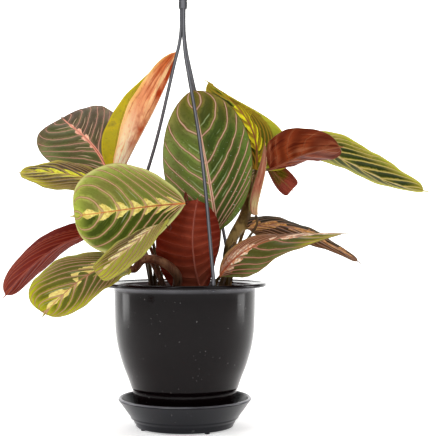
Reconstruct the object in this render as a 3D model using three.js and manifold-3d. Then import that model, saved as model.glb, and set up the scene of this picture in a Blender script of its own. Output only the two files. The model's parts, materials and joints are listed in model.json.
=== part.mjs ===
// A prayer plant with red-veined leaves in a black hanging pot, with its clip-on saucer and its
// three-strand hanger. Millimetres, +Z up. Heights below are measured from the saucer's base ring.
// The finished group is then moved so that its origin is where the hook bears on what it hangs from.
import * as THREE from 'three';
import { mergeVertices } from 'three/addons/utils/BufferGeometryUtils.js';
import Module from 'manifold-3d';

const wasm = await Module();
wasm.setup();

// Driving dimensions
const RIM_RADIUS = 75;
const RIM_TOP = 131.5;
const FLANGE_UNDERSIDE = 127.5;
const WALL = 2;
const POT_BOTTOM = 3.8;
const SOIL_TOP = 114;
const SOIL_GAP = 0.7;
const DRAIN_HOLE_RADIUS = 4.5;
const DRAIN_HOLE_RING = 28;
const SAUCER_RADIUS = 61.2;
const SAUCER_HEIGHT = 26.2;
const FOOT_HEIGHT = 1.4;
const STRAND_RADIUS = 1.3;
const STRAND_RING = 70;
const STRAND_BUNDLE = 1.55;
const STRAND_ANGLES = [22, 142, 262];
const STRAND_HOLE_RADIUS = 2.1;
const HUB_X = -2;
const HUB_RADIUS = 4.1;
const HUB_BOTTOM = 384;
const HUB_TOP = 400;
const STRAND_BOWS = [[3.2, -2], [1.5, 0], [5.5, -0.8]];
const STRAND_SPREAD_HEIGHT = 355;
const HOOK_WIRE = 2;
const HOOK_RADIUS = 13;
const HOOK_CENTRE_HEIGHT = 421;
const BEARING_HEIGHT = HOOK_CENTRE_HEIGHT + HOOK_RADIUS - HOOK_WIRE;
const BLADE_THICKNESS = 0.8;
const FOLD_EASE = 1.5;
const PETIOLE_GAP = 0.5;
const ROUND_SEGMENTS = 36;

// Grid of one blade: rows from foot to tip, and columns from one margin to the other
const BLADE_ROWS = 12;
const BLADE_COLUMNS = 6;

const material = (color, roughness, metalness = 0) =>
  new THREE.MeshStandardMaterial({ color, roughness, metalness });
const potPlastic = material(0x0b0b0d, 0.22);
const saucerPlastic = material(0x14161a, 0.38);
const hangerPlastic = material(0x55575b, 0.4);
const soilBrown = material(0x2b2019, 0.95);
const stemGreen = material(0x5c4a26, 0.6);
const leafColours = {
  green: material(0x42632f, 0.5),
  lime: material(0x8c9a34, 0.5),
  underside: material(0x6e2018, 0.55),
  young: material(0xc46a46, 0.5),
};

const vector = (point) => new THREE.Vector3(...point);

// Solids: three.js geometry to a manifold and back
function toSolid(geometry) {
  const bare = geometry.clone();
  bare.deleteAttribute('normal');
  bare.deleteAttribute('uv');
  const merged = mergeVertices(bare, 1e-4);
  return new wasm.Manifold(new wasm.Mesh({
    numProp: 3,
    vertProperties: new Float32Array(merged.attributes.position.array),
    triVerts: new Uint32Array(merged.index.array),
  }));
}

function toGeometry(solid) {
  const mesh = solid.getMesh();
  const geometry = new THREE.BufferGeometry();
  geometry.setAttribute('position', new THREE.BufferAttribute(mesh.vertProperties, 3));
  geometry.setIndex(new THREE.BufferAttribute(mesh.triVerts, 1));
  geometry.computeVertexNormals();
  return geometry;
}

// Turned solid about the vertical axis, from [radius, height] pairs that start and end on the axis
function turned(profile, segments = ROUND_SEGMENTS) {
  const points = profile.map(([radius, height]) => new THREE.Vector2(radius, height));
  return new THREE.LatheGeometry(points, segments).rotateX(Math.PI / 2);
}

function cylinder(radius, bottom, top, x, y, segments = 12) {
  return new THREE.CylinderGeometry(radius, radius, top - bottom, segments)
    .rotateX(Math.PI / 2)
    .translate(x, y, (bottom + top) / 2);
}

// Round section swept along a curve, its radius running evenly from the first to the last
function tapered(curve, firstRadius, lastRadius, steps, sides) {
  const frames = curve.computeFrenetFrames(steps, false);
  const positions = [];
  const indices = [];
  for (let ring = 0; ring <= steps; ring += 1) {
    const centre = curve.getPointAt(ring / steps);
    const radius = firstRadius + (lastRadius - firstRadius) * (ring / steps);
    for (let side = 0; side < sides; side += 1) {
      const angle = (2 * Math.PI * side) / sides;
      const point = centre.clone()
        .addScaledVector(frames.normals[ring], radius * Math.cos(angle))
        .addScaledVector(frames.binormals[ring], radius * Math.sin(angle));
      positions.push(point.x, point.y, point.z);
    }
  }
  for (let ring = 0; ring < steps; ring += 1) {
    for (let side = 0; side < sides; side += 1) {
      const a = ring * sides + side;
      const b = ring * sides + ((side + 1) % sides);
      indices.push(a, b, b + sides, a, b + sides, a + sides);
    }
  }
  const last = steps * sides;
  for (let side = 1; side < sides - 1; side += 1) {
    indices.push(0, side + 1, side);
    indices.push(last, last + side, last + side + 1);
  }
  const geometry = new THREE.BufferGeometry();
  geometry.setAttribute('position', new THREE.Float32BufferAttribute(positions, 3));
  geometry.setIndex(indices);
  return geometry;
}

// Pot: a bellied shell with a wide flange, drain holes in its floor and a hole in the flange for each
// strand. The outside runs from the foot up to the flange, with a small step above the foot.
const POT_OUTSIDE = [
  [46.0, 5.6], [48.2, 34.4], [49.1, 34.9], [53.6, 47.4], [59.4, 64.0], [63.9, 87.0], [65.2, 125.5],
];

function potGeometry() {
  const floor = POT_BOTTOM + 2.4;
  const lip = [
    [65.6, FLANGE_UNDERSIDE], [RIM_RADIUS - 1.2, FLANGE_UNDERSIDE], [RIM_RADIUS, FLANGE_UNDERSIDE + 1.3],
    [RIM_RADIUS, RIM_TOP - 1.4], [RIM_RADIUS - 1.6, RIM_TOP], [66, RIM_TOP - 2],
  ];
  const inside = POT_OUTSIDE.map(([radius, height]) => [radius - WALL, Math.max(height, floor)]);
  inside[inside.length - 1][1] = RIM_TOP - 3.2;
  const outside = [[0, POT_BOTTOM], [44.6, POT_BOTTOM], ...POT_OUTSIDE];
  const profile = [...outside, ...lip, ...inside.reverse(), [0, floor]];
  let pot = toSolid(turned(profile));
  for (const angle of STRAND_ANGLES) {
    const [x, y] = strandFoot(angle);
    const hole = cylinder(STRAND_HOLE_RADIUS, FLANGE_UNDERSIDE - 2, RIM_TOP + 2, x, y);
    pot = pot.subtract(toSolid(hole));
  }
  for (let hole = 0; hole < 4; hole += 1) {
    const angle = Math.PI / 4 + (hole * Math.PI) / 2;
    const x = DRAIN_HOLE_RING * Math.cos(angle);
    const y = DRAIN_HOLE_RING * Math.sin(angle);
    pot = pot.subtract(toSolid(cylinder(DRAIN_HOLE_RADIUS, POT_BOTTOM - 1, POT_BOTTOM + 4, x, y)));
  }
  return toGeometry(pot);
}

// Saucer: a flared dish on a base ring with four small feet, and an inner ring that grips the pot's foot
function saucerGeometry() {
  const floor = POT_BOTTOM - 0.3;
  const profile = [
    [0, 1.5], [42, 1.5], [42, 0], [44.8, 0], [45.2, floor], [51.4, 10.9],
    [SAUCER_RADIUS, SAUCER_HEIGHT - 1], [SAUCER_RADIUS - 0.6, SAUCER_HEIGHT],
    [SAUCER_RADIUS - 2.2, SAUCER_HEIGHT - 1], [50.4, 13], [48.8, floor + 6],
    [47.2, floor + 6], [46.6, floor], [0, floor],
  ];
  let saucer = toSolid(turned(profile));
  for (let foot = 0; foot < 4; foot += 1) {
    const angle = THREE.MathUtils.degToRad(-60.5 + 90 * foot);
    const nub = cylinder(2.4, -FOOT_HEIGHT, 2, 42.2 * Math.cos(angle), 42.2 * Math.sin(angle), 8);
    saucer = saucer.add(toSolid(nub));
  }
  return toGeometry(saucer);
}

// Hanger: hub with a hook on top, and three strands that end in a collar and a knob at the pot's flange
function strandFoot(angle) {
  const turn = THREE.MathUtils.degToRad(angle);
  return [STRAND_RING * Math.sin(turn), -STRAND_RING * Math.cos(turn)];
}

function hookGeometry() {
  const socketRadius = 3.1;
  const hub = turned([
    [0, HUB_BOTTOM + 5], [socketRadius, HUB_BOTTOM + 5], [socketRadius, HUB_BOTTOM], [3.6, HUB_BOTTOM],
    [HUB_RADIUS, HUB_BOTTOM + 2], [HUB_RADIUS, HUB_TOP - 2], [3, HUB_TOP], [0, HUB_TOP],
  ], 16).translate(HUB_X, 0, 0);
  const arc = [];
  for (let degree = -90; degree <= 150; degree += 20) {
    const turn = THREE.MathUtils.degToRad(degree);
    arc.push(new THREE.Vector3(
      HUB_X + HOOK_RADIUS * Math.cos(turn), 0, HOOK_CENTRE_HEIGHT + HOOK_RADIUS * Math.sin(turn)));
  }
  const path = new THREE.CatmullRomCurve3([new THREE.Vector3(HUB_X, 0, HUB_TOP - 1), ...arc]);
  const wire = tapered(path, HOOK_WIRE, HOOK_WIRE, 22, 8);
  return toGeometry(toSolid(hub).add(toSolid(wire)));
}

// Straight down from the hub, a soft bend, then a line that bows a little on its way to the flange
function strandPath(angle) {
  const turn = THREE.MathUtils.degToRad(angle);
  const [footX, footY] = strandFoot(angle);
  const bundleX = HUB_X + STRAND_BUNDLE * Math.sin(turn);
  const bundleY = -STRAND_BUNDLE * Math.cos(turn);
  const inBundle = (height) => new THREE.Vector3(bundleX, bundleY, height);
  const atFoot = (height) => new THREE.Vector3(footX, footY, height);
  const bend = inBundle(STRAND_SPREAD_HEIGHT);
  const bow = new THREE.Vector3(...STRAND_BOWS[STRAND_ANGLES.indexOf(angle)], 0);
  const afterBend = bend.clone().lerp(atFoot(RIM_TOP + 8), 0.08);
  const middle = bend.clone().lerp(atFoot(RIM_TOP + 8), 0.5).add(bow);
  const path = new THREE.CurvePath();
  path.add(new THREE.LineCurve3(inBundle(HUB_BOTTOM + 4.4), inBundle(STRAND_SPREAD_HEIGHT + 16)));
  path.add(new THREE.QuadraticBezierCurve3(inBundle(STRAND_SPREAD_HEIGHT + 16), bend, afterBend));
  path.add(new THREE.CatmullRomCurve3([afterBend, middle, atFoot(RIM_TOP + 8)]));
  path.add(new THREE.LineCurve3(atFoot(RIM_TOP + 8), atFoot(FLANGE_UNDERSIDE - 1)));
  return path;
}

function strandGeometry(angle) {
  const [x, y] = strandFoot(angle);
  const round = new THREE.Path().absarc(0, 0, STRAND_RADIUS, 0, 2 * Math.PI).getPoints(4);
  const cord = new THREE.ExtrudeGeometry(new THREE.Shape(round), {
    steps: 20,
    bevelEnabled: false,
    extrudePath: strandPath(angle),
  });
  const collar = cylinder(2.2, RIM_TOP + 0.4, RIM_TOP + 8, x, y, 8);
  const knob = cylinder(3, FLANGE_UNDERSIDE - 3.4, FLANGE_UNDERSIDE - 0.6, x, y, 10);
  return toGeometry(toSolid(cord).add(toSolid(collar)).add(toSolid(knob)));
}

// Leaves. Each blade grows along its midrib, a cubic curve from foot to tip. `face` is the way its
// upper side looks at the foot and at the tip. The two halves, left and right of the midrib as seen on
// the upper side with the tip up, each have a half width, a fold up from flat and a curl, in degrees.
// `outline` holds the fullness of the foot and of the tip, a lower power being blunter. `wave` is the
// height, count and start of the margin's waves. The petiole leaves the named shoot, passes the points
// given and runs straight into the blade's foot for the length of its lead.
const LEAVES = [
  { name: 'leaf_left_high', colour: 'green', shoot: 'left_back',
    midrib: [[-71, 9, 233], [-89, 31, 269], [-112, 65, 278], [-128, 93, 294]],
    face: [[-0.53, -0.67, 0.53], [-0.34, -0.65, 0.68]],
    half: [42, 38], fold: [7, 1], curl: [-6, -11], outline: [0.45, 0.3], wave: [1, 2.5, 0],
    petiole: [[-40, 22, 160], [-60, 19, 204]] },
  { name: 'leaf_young_rolled', colour: 'young', shoot: 'left_back',
    midrib: [[-62, 4, 228], [-44, -4, 266], [-23, 6, 296], [-5, 9, 350]],
    face: [[-0.82, -0.49, 0.3], [-0.91, -0.1, 0.4]],
    half: [36, 33], fold: [49, 53], curl: [3, 0], outline: [0.5, 0.62], wave: [0.8, 2, 0],
    petiole: [[-36, 16, 155], [-55, 14, 195]] },
  { name: 'leaf_left_level', colour: 'lime', shoot: 'left_front',
    midrib: [[-66, -7, 220], [-95, -26, 229], [-123, -17, 234], [-151, -18, 231]],
    face: [[-0.12, -0.5, 0.86], [-0.2, -0.37, 0.9]],
    half: [34, 32], fold: [8, 4], curl: [-15, -14], outline: [0.5, 0.45], wave: [1, 2.5, 0.3],
    petiole: [[-30, -10, 160], [-50, -4, 206]] },
  { name: 'leaf_left_broad', colour: 'green', shoot: 'centre', lead: 2.5,
    midrib: [[1, -31, 203], [-39, -53, 200], [-50, -68, 196], [-99, -52, 191]],
    face: [[0, -0.97, 0.2], [-0.28, -0.96, 0.05]],
    half: [38, 41], fold: [2, 14], curl: [-12, -11],
    outline: [0.8, 0.43], rightOutline: [0.6, 0.33], wave: [0.8, 3, 0.1],
    petiole: [[9, -8, 150], [1, -13.5, 185], [0, -15, 202], [1, -20, 213]] },
  { name: 'leaf_front_drooping', colour: 'lime', shoot: 'centre', lead: 2,
    midrib: [[-16, -54, 185], [-27, -93, 184], [-38, -105, 166], [-72, -110, 141]],
    face: [[-0.45, -0.7, 0.55], [-0.4, -0.78, 0.48]],
    half: [20, 14], fold: [12, 5], curl: [-8, -14], outline: [0.5, 0.2], wave: [0.8, 2.5, 0.2],
    petiole: [[2, -8, 150], [-13, -9, 185], [-19, -14, 202], [-16, -28, 193], [-11, -38, 181],
      [-12.5, -46, 179.5]] },
  { name: 'leaf_left_low', colour: 'green', shoot: 'left_front',
    midrib: [[-49, -40, 146], [-71, -69, 154], [-92, -94, 135], [-114, -107, 108]],
    face: [[-0.15, -0.78, 0.6], [-0.3, -0.8, 0.52]],
    half: [30, 36], fold: [10, 2], curl: [0, -8], outline: [0.55, 0.3], wave: [1, 3, 0.4],
    petiole: [[-6, -30, 138], [-20, -34, 151], [-36, -35, 153]] },
  { name: 'leaf_left_underside', colour: 'underside', shoot: 'left_front',
    midrib: [[-78, -8, 177], [-111, -18, 173], [-138, -25, 151], [-163, -22, 118]],
    face: [[0.22, 0.82, 0.53], [-0.2, 0.88, 0.42]],
    half: [28, 29], fold: [70, 42], curl: [16, 18], outline: [0.55, 0.4], wave: [1, 2.5, 0],
    petiole: [[-27, -16, 144], [-42, -12, 165]] },
  { name: 'leaf_centre_tall', colour: 'green', shoot: 'centre',
    midrib: [[29, -1, 179], [28, -20, 202], [14, -24, 268], [6, -4, 311]],
    face: [[-0.05, -0.97, 0.25], [0, -0.98, 0.2]],
    half: [39.5, 43], fold: [2, 6], curl: [-8, -12],
    outline: [0.68, 0.7], rightOutline: [0.85, 0.6], wave: [0.8, 3, 0],
    petiole: [[26, 10, 147]] },
  { name: 'leaf_centre_underside', colour: 'underside', shoot: 'centre', lead: 2.5,
    midrib: [[16, -20, 121], [3, -29, 160], [8, -29, 186], [12, -20, 208]],
    face: [[-0.1, 0.98, 0.19], [0.1, 0.97, 0.24]],
    half: [25, 34], fold: [10, 8], curl: [6, 6],
    outline: [0.62, 0.5], rightOutline: [0.42, 0.5], wave: [0.8, 3, 0.2],
    petiole: [] },
  { name: 'leaf_right_tall', colour: 'lime', shoot: 'right',
    midrib: [[66, 16, 236], [70, 18, 268], [62, 27, 292], [18, 40, 324]],
    face: [[-0.53, -0.84, 0.1], [-0.25, -0.74, 0.63]],
    half: [32, 33], fold: [11, -26], curl: [0, 0],
    outline: [0.45, 0.5], rightOutline: [0.3, 1.7], wave: [0.8, 3, 0],
    petiole: [[40, 8, 150], [46, 9, 175], [58, 12, 200]] },
  { name: 'leaf_right_folded', colour: 'underside', shoot: 'right_front',
    midrib: [[65, -10, 193], [63, -10, 208], [79, -10, 232], [73, -4, 261]],
    face: [[-0.92, -0.38, 0.11], [-0.93, -0.3, 0.22]],
    half: [8, 12], fold: [61, 57], curl: [5, 2], outline: [0.4, 0.7], wave: [0, 1, 0],
    petiole: [[42, -20, 150], [58, -15, 172]] },
  { name: 'leaf_right_underside', colour: 'underside', shoot: 'right',
    midrib: [[79, 3, 236], [100, -9, 243], [99, -22, 249], [140, -54, 252]],
    face: [[-0.07, 0.77, 0.64], [0.15, 0.9, 0.4]],
    half: [22.5, 28], fold: [30, 5], curl: [13, 8],
    outline: [0.5, 0.4], rightOutline: [0.5, 0.5], wave: [1, 3, 0.1],
    petiole: [[44, 4, 160], [57, 4, 195], [66, 6, 222]] },
  { name: 'leaf_right_long', colour: 'lime', shoot: 'right',
    midrib: [[90, 42, 258], [138, 34, 271], [167, 14, 220], [226, 4, 215]],
    face: [[0, -0.68, 0.73], [0.34, -0.61, 0.71]],
    half: [35.5, 37], fold: [3, 24], curl: [-7, 1], outline: [0.5, 0.45], wave: [1, 3, 0.2],
    petiole: [[46, 18, 170], [58, 32, 208], [70, 40, 240]] },
  { name: 'leaf_right_small', colour: 'underside', shoot: 'right',
    midrib: [[74, 30, 248], [79, 26, 239], [87, 20, 230], [101, 14, 216]],
    face: [[0.34, 0.76, 0.56], [-0.19, 0.92, 0.33]],
    half: [11, 11], fold: [23, 20], curl: [7, 5], outline: [0.5, 0.14], wave: [0, 1, 0],
    petiole: [[50, 14, 165], [64, 30, 205]] },
  { name: 'leaf_right_low', colour: 'green', shoot: 'right_front',
    midrib: [[32, -35, 138], [50, -50, 168], [82, -55, 177], [142, -70, 176]],
    face: [[0.15, -0.8, 0.55], [0.02, -0.3, 0.95]],
    half: [24, 35], fold: [-12, 5], curl: [-18, -9],
    outline: [0.8, 0.45], rightOutline: [0.85, 0.6], wave: [0.8, 3, 0],
    petiole: [] },
  { name: 'leaf_right_level', colour: 'green', shoot: 'right',
    midrib: [[58, 1, 181], [83, 10, 189], [112, -4, 184], [162, -10, 148]],
    face: [[0.3, -0.5, 0.8], [0.55, -0.39, 0.73]],
    half: [20.5, 23], fold: [0, 8], curl: [-16, -22],
    outline: [0.15, 0.4], rightOutline: [0.35, 0.4], wave: [0.8, 3, 0.3],
    petiole: [[41, -1, 150], [46, -3, 168]] },
  { name: 'leaf_back_tall', colour: 'green', shoot: 'back',
    midrib: [[10, 34, 190], [8, 66, 240], [9, 97, 262], [13, 137, 258]],
    face: [[0, -0.8, 0.6], [0, 0.1, 1]],
    half: [26, 27], fold: [6, 6], curl: [-8, -8], outline: [0.5, 0.45], wave: [1, 3, 0],
    petiole: [[6, 30, 150]] },
  { name: 'leaf_back_left', colour: 'green', shoot: 'left_back',
    midrib: [[-22, 30, 170], [-45, 55, 205], [-60, 95, 210], [-72, 128, 195]],
    face: [[0.3, -0.6, 0.7], [-0.2, 0.2, 1]],
    half: [34, 34], fold: [5, 5], curl: [-10, -10], outline: [0.5, 0.4], wave: [1, 3, 0.4],
    petiole: [] },
  { name: 'leaf_back_low', colour: 'green', shoot: 'back',
    midrib: [[5, 42, 150], [2, 75, 185], [0, 110, 185], [0, 140, 165]],
    face: [[0, -0.7, 0.7], [0, 0.3, 1]],
    half: [32, 32], fold: [5, 5], curl: [-10, -10], outline: [0.5, 0.4], wave: [1, 3, 0.2],
    petiole: [] },
  { name: 'leaf_back_right', colour: 'green', shoot: 'back',
    midrib: [[36, 42, 206], [52, 74, 242], [62, 100, 256], [70, 126, 250]],
    face: [[-0.3, -0.6, 0.7], [0.2, 0.1, 1]],
    half: [24, 26], fold: [6, 6], curl: [-8, -8], outline: [0.5, 0.45], wave: [1, 3, 0.6],
    petiole: [[30, 24, 160]] },
  { name: 'leaf_back_high', colour: 'green', shoot: 'left_back',
    midrib: [[-50, 30, 212], [-72, 54, 242], [-90, 88, 252], [-108, 120, 246]],
    face: [[0.3, -0.6, 0.7], [-0.2, 0.1, 1]],
    half: [26, 20], fold: [6, 6], curl: [-8, -8], outline: [0.5, 0.45], wave: [1, 3, 0.8],
    petiole: [[-30, 20, 165]] },
];

// Where each shoot stands in the soil
const SHOOTS = {
  left_front: [-12, -24],
  left_back: [-28, 16],
  centre: [13, -4],
  right: [36, 6],
  right_front: [28, -30],
  back: [6, 34],
};
const CROWN_RADIUS = 5;
const CROWN_DEPTH = 14;
const CROWN_RISE = 7;
const PETIOLE_RADII = [2, 1.3];
const PETIOLE_STEP = 11;

// Share of the half width at `along` the midrib, with a small drawn-out tip
function outlineShare(along, [foot, tip]) {
  const bodyEnd = 0.97;
  const way = Math.min(Math.max(along / bodyEnd, 0), 1);
  const widest = foot / (foot + tip);
  const body = (way / widest) ** foot * ((1 - way) / (1 - widest)) ** tip;
  const nib = along > 0.94 ? 1 - along : 0;
  return Math.max(body, nib, 0.03 * (1 - along) + 0.01);
}

// Point of the blade and its upper normal: `along` runs from foot 0 to tip 1, and `across` from the
// left margin -1 to the right margin 1
function bladePoint(leaf, along, across) {
  const curve = new THREE.CubicBezierCurve3(...leaf.midrib.map(vector));
  const tangent = curve.getTangent(along);
  const blend = along * along * (3 - 2 * along);
  const up = vector(leaf.face[0]).lerp(vector(leaf.face[1]), blend);
  up.addScaledVector(tangent, -up.dot(tangent)).normalize();
  const side = tangent.clone().cross(up);
  const half = across < 0 ? 0 : 1;
  const width = leaf.half[half];
  const share = outlineShare(along, (half && leaf.rightOutline) || leaf.outline);
  const reach = Math.abs(across) * width * share;
  const fold = THREE.MathUtils.degToRad(leaf.fold[half]);
  const curl = THREE.MathUtils.degToRad(leaf.curl[half] || 0.06);
  const angle = fold + (curl * reach) / width;
  const out = (width / curl) * (Math.sin(angle) - Math.sin(fold)) * Math.sign(across);
  const [height, count, start] = leaf.wave;
  const ripple = height * across * across * Math.sin(2 * Math.PI * (count * along + start + 0.37 * half));
  const lift = (width / curl) * (Math.cos(fold) - Math.cos(angle)) + ripple * Math.min(1, 1.5 * share);
  const point = curve.getPoint(along).addScaledVector(side, out).addScaledVector(up, lift);
  const lean = angle * Math.min(1, reach / FOLD_EASE);
  const normal = up.multiplyScalar(Math.cos(lean)).addScaledVector(side, -Math.sign(across) * Math.sin(lean));
  return { point, normal };
}

function bladeGeometry(leaf) {
  const positions = [];
  for (const side of [0.5, -0.5]) {
    for (let row = 0; row <= BLADE_ROWS; row += 1) {
      const step = row / BLADE_ROWS;
      const along = 0.35 * step + 0.65 * (1 - Math.cos(Math.PI * step)) / 2;
      for (let column = 0; column <= BLADE_COLUMNS; column += 1) {
        const { point, normal } = bladePoint(leaf, along, (2 * column) / BLADE_COLUMNS - 1);
        point.addScaledVector(normal, side * BLADE_THICKNESS);
        positions.push(point.x, point.y, point.z);
      }
    }
  }
  const stride = BLADE_COLUMNS + 1;
  const under = stride * (BLADE_ROWS + 1);
  const indices = [];
  for (let row = 0; row < BLADE_ROWS; row += 1) {
    for (let column = 0; column < BLADE_COLUMNS; column += 1) {
      const a = row * stride + column;
      const [b, c, d] = [a + 1, a + stride + 1, a + stride];
      indices.push(a, b, c, a, c, d);
      indices.push(a + under, c + under, b + under, a + under, d + under, c + under);
    }
  }
  const columns = [...Array(BLADE_COLUMNS).keys()];
  const rows = [...Array(BLADE_ROWS).keys()];
  const rim = [
    ...columns,
    ...rows.map((row) => row * stride + BLADE_COLUMNS),
    ...columns.map((column) => BLADE_ROWS * stride + BLADE_COLUMNS - column),
    ...rows.map((row) => (BLADE_ROWS - row) * stride),
  ];
  rim.forEach((a, index) => {
    const b = rim[(index + 1) % rim.length];
    indices.push(a, a + under, b + under, a, b + under, b);
  });
  const geometry = new THREE.BufferGeometry();
  geometry.setAttribute('position', new THREE.Float32BufferAttribute(positions, 3));
  geometry.setIndex(indices);
  geometry.computeVertexNormals();
  return geometry;
}

// Shoots: a crown in the soil with the petioles of its leaves grown out of it
function petiolePath(leaf) {
  const [x, y] = SHOOTS[leaf.shoot];
  const foot = vector(leaf.midrib[0]);
  const heading = vector(leaf.midrib[1]).sub(foot).normalize();
  const next = leaf.petiole.length ? vector(leaf.petiole[0]) : foot;
  const toward = new THREE.Vector3(next.x - x, next.y - y, 0).normalize();
  const start = new THREE.Vector3(x, y, SOIL_TOP + 2.5).addScaledVector(toward, CROWN_RADIUS * 0.45);
  const lead = foot.clone().addScaledVector(heading, -(leaf.lead ?? 8));
  const end = foot.clone().addScaledVector(heading, -PETIOLE_GAP);
  return new THREE.CatmullRomCurve3([start, ...leaf.petiole.map(vector), lead, end]);
}

function shootGeometry(shoot) {
  const [x, y] = SHOOTS[shoot];
  const crown = turned([
    [0, SOIL_TOP - CROWN_DEPTH], [CROWN_RADIUS, SOIL_TOP - CROWN_DEPTH], [CROWN_RADIUS, SOIL_TOP + 2],
    [CROWN_RADIUS * 0.6, SOIL_TOP + CROWN_RISE], [0, SOIL_TOP + CROWN_RISE + 0.5],
  ], 10).translate(x, y, 0);
  let solid = toSolid(crown);
  for (const leaf of LEAVES.filter((each) => each.shoot === shoot)) {
    const path = petiolePath(leaf);
    const steps = Math.max(3, Math.round(path.getLength() / PETIOLE_STEP));
    solid = solid.add(toSolid(tapered(path, ...PETIOLE_RADII, steps, 6)));
  }
  return toGeometry(solid);
}

// Soil: fills the pot to a finger's width below the rim, with a plain hole for each shoot
function soilGeometry() {
  const bottom = POT_BOTTOM + 2.8;
  const inset = WALL + SOIL_GAP;
  const wall = POT_OUTSIDE
    .filter(([, height]) => height > bottom && height < SOIL_TOP)
    .map(([radius, height]) => [radius - inset, height]);
  const foot = [POT_OUTSIDE[0][0] - inset, bottom];
  const profile = [[0, bottom], foot, ...wall, [62.2, SOIL_TOP], [0, SOIL_TOP]];
  let soil = toSolid(turned(profile));
  for (const [x, y] of Object.values(SHOOTS)) {
    const hole = cylinder(CROWN_RADIUS + 0.4, SOIL_TOP - CROWN_DEPTH - 0.4, SOIL_TOP + 1, x, y, 10);
    soil = soil.subtract(toSolid(hole));
  }
  return toGeometry(soil);
}

// Assembly
const plantInPot = new THREE.Group();
plantInPot.position.set(-HUB_X, 0, -BEARING_HEIGHT);

function place(name, geometry, meshMaterial) {
  const mesh = new THREE.Mesh(geometry, meshMaterial);
  mesh.name = name;
  plantInPot.add(mesh);
}

place('pot', potGeometry(), potPlastic);
place('saucer', saucerGeometry(), saucerPlastic);
place('soil', soilGeometry(), soilBrown);
place('hanger_hook', hookGeometry(), hangerPlastic);
STRAND_ANGLES.forEach((angle, index) => {
  place(`hanger_strand_${index + 1}`, strandGeometry(angle), hangerPlastic);
});
Object.keys(SHOOTS).forEach((shoot) => {
  place(`shoot_${shoot}`, shootGeometry(shoot), stemGreen);
});
LEAVES.forEach((leaf) => {
  place(leaf.name, bladeGeometry(leaf), leafColours[leaf.colour]);
});

const part = new THREE.Group();
part.add(plantInPot);

export default part;
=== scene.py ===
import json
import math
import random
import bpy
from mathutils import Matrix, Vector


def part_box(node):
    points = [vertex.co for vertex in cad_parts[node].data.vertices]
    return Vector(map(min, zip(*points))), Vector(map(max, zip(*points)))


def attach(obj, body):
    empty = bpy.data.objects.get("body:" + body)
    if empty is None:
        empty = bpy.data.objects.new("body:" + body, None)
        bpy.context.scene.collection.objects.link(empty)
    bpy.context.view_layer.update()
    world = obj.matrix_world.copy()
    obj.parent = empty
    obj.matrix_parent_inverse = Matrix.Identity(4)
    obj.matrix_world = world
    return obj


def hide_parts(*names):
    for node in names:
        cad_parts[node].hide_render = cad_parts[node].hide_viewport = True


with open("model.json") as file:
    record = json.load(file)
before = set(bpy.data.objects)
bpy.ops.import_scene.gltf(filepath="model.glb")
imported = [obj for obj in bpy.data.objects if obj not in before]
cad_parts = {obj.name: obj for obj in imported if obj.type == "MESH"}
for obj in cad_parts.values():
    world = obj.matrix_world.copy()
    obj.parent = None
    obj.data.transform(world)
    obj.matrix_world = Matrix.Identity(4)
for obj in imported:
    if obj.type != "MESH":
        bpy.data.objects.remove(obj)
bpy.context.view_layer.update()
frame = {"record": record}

# A prayer plant with red-veined leaves in a black hanging pot, with its clip-on saucer and three-strand
# hanger. Sizes are in millimetres from the pot's axis and the saucer's base ring, as on the real pot;
# at() turns such a place into metres in the frame.
from types import SimpleNamespace

import bpy
import numpy as np
from mathutils import Vector, noise

# Driving dimensions, from the frame where it holds them
MM = 0.001
pot_low, pot_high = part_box("pot")
saucer_low, saucer_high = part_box("saucer")
FOOT_HEIGHT = 1.4
AXIS_X = (pot_low.x + pot_high.x) / 2
BASE_Z = saucer_low.z + FOOT_HEIGHT * MM
RIM_RADIUS = (pot_high.x - pot_low.x) / 2 / MM
RIM_TOP = (pot_high.z - BASE_Z) / MM
SAUCER_RADIUS = (saucer_high.x - saucer_low.x) / 2 / MM
SAUCER_HEIGHT = (saucer_high.z - BASE_Z) / MM
SAUCER_FOOT_RING = 42.2
FLANGE_UNDERSIDE = RIM_TOP - 4
WALL = 2
POT_BOTTOM = 3.8
SOIL_TOP = 114
CRUMBS = 260
STRAND_RADIUS = 1.6
STRAND_RING = 70
STRAND_BUNDLE = 1.55
STRAND_ANGLES = (22, 142, 262)
STRAND_BOWS = ((3.2, -2), (1.5, 0), (5.5, -0.8))
STRAND_SPREAD_HEIGHT = 355
HUB_X = -2
HUB_RADIUS = 4.1
HUB_BOTTOM = 384
HUB_TOP = 400
HOOK_WIRE = 2
HOOK_RADIUS = 13
HOOK_CENTRE_HEIGHT = 421
CROWN_RADIUS = 5
BLADE_ROWS = 110
BLADE_COLUMNS = 44
BLADE_THICKNESS = 0.6
QUILT = 0.35
LEAF_SHINE = 0.07
VEIN_WANDER = 0.5

# The photograph's camera: its place, its pitch and how many pixels tall the frame is
CAMERA_PLACE = (27.7, -969, 177.5)
CAMERA_PITCH = 0.764
FRAME_PIXELS = 436
FOCAL_PIXELS = 1050
SENSOR = 36
PAPER_GLOW = 0.45

random.seed(7)


def at(x, y, z):
    """A place given in millimetres from the pot's axis and base ring, in metres in the frame."""
    return Vector((AXIS_X + x * MM, y * MM, BASE_Z + z * MM))


def deselect():
    bpy.ops.object.select_all(action="DESELECT")


def pick(*pieces):
    """Selects these pieces alone; the first is the active one."""
    deselect()
    for piece in pieces:
        piece.select_set(True)
    bpy.context.view_layer.objects.active = pieces[0]


def switch(mode):
    bpy.ops.object.mode_set(mode=mode)


# Materials
def linear(code):
    """A colour written as a hexadecimal screen colour, as the shader's linear red, green, blue, alpha."""
    parts = [(code >> shift & 255) / 255 for shift in (16, 8, 0)]
    return tuple(c / 12.92 if c <= 0.04045 else ((c + 0.055) / 1.055) ** 2.4 for c in parts) + (1.0,)


def sum_by(operation):
    """The method that puts a reading and another value through this sum."""
    return lambda reading, other: reading.finish.math(operation, reading, other)


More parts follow.
